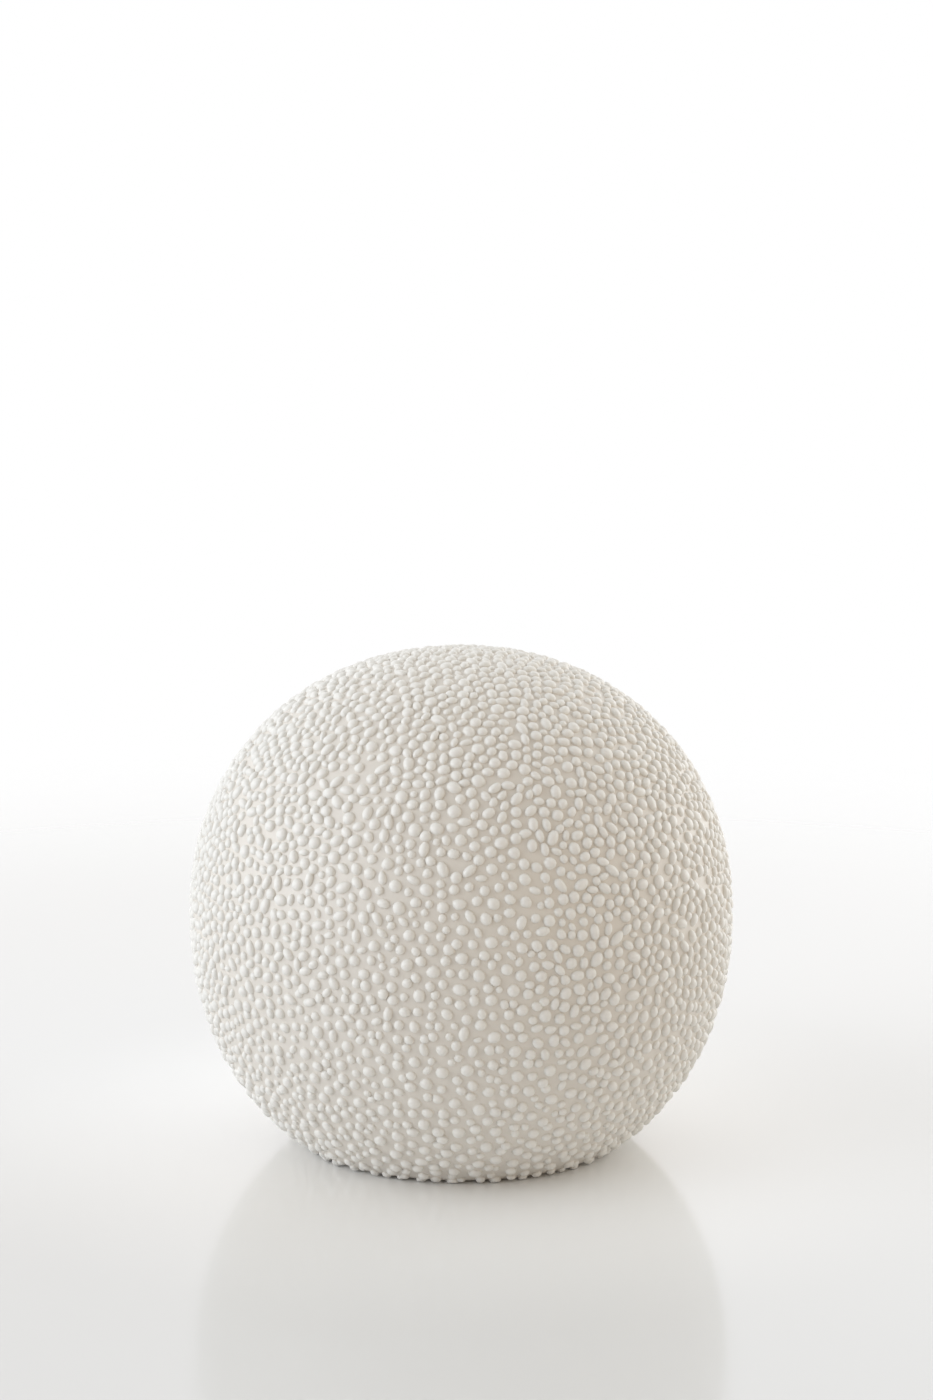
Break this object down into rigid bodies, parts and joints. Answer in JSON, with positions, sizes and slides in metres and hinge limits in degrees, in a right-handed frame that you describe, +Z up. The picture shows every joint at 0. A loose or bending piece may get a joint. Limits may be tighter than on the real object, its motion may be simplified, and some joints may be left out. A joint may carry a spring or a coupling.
{
  "type": "ceramic decorative ball",
  "caption": "Hollow, slightly squat glazed ceramic ball with a flat foot, beaded all over with raised slip dots; a free-standing ornament.",
  "frame": {"origin": "centre of the flat foot, on the plane that the ball stands on", "axes": "+Z up along the ball's axis, +X to the right of the picture's view, +Y away from the viewer"},
  "size_m": [0.1498, 0.1496, 0.1377],
  "materials": {
    "satin_glaze": "warm off-white satin glaze over raised slip dots, bare clay on the flat foot and round the vent"
  },
  "bodies": {
    "root": {"beaded_ball": "satin_glaze"}
  },
  "joints": []
}
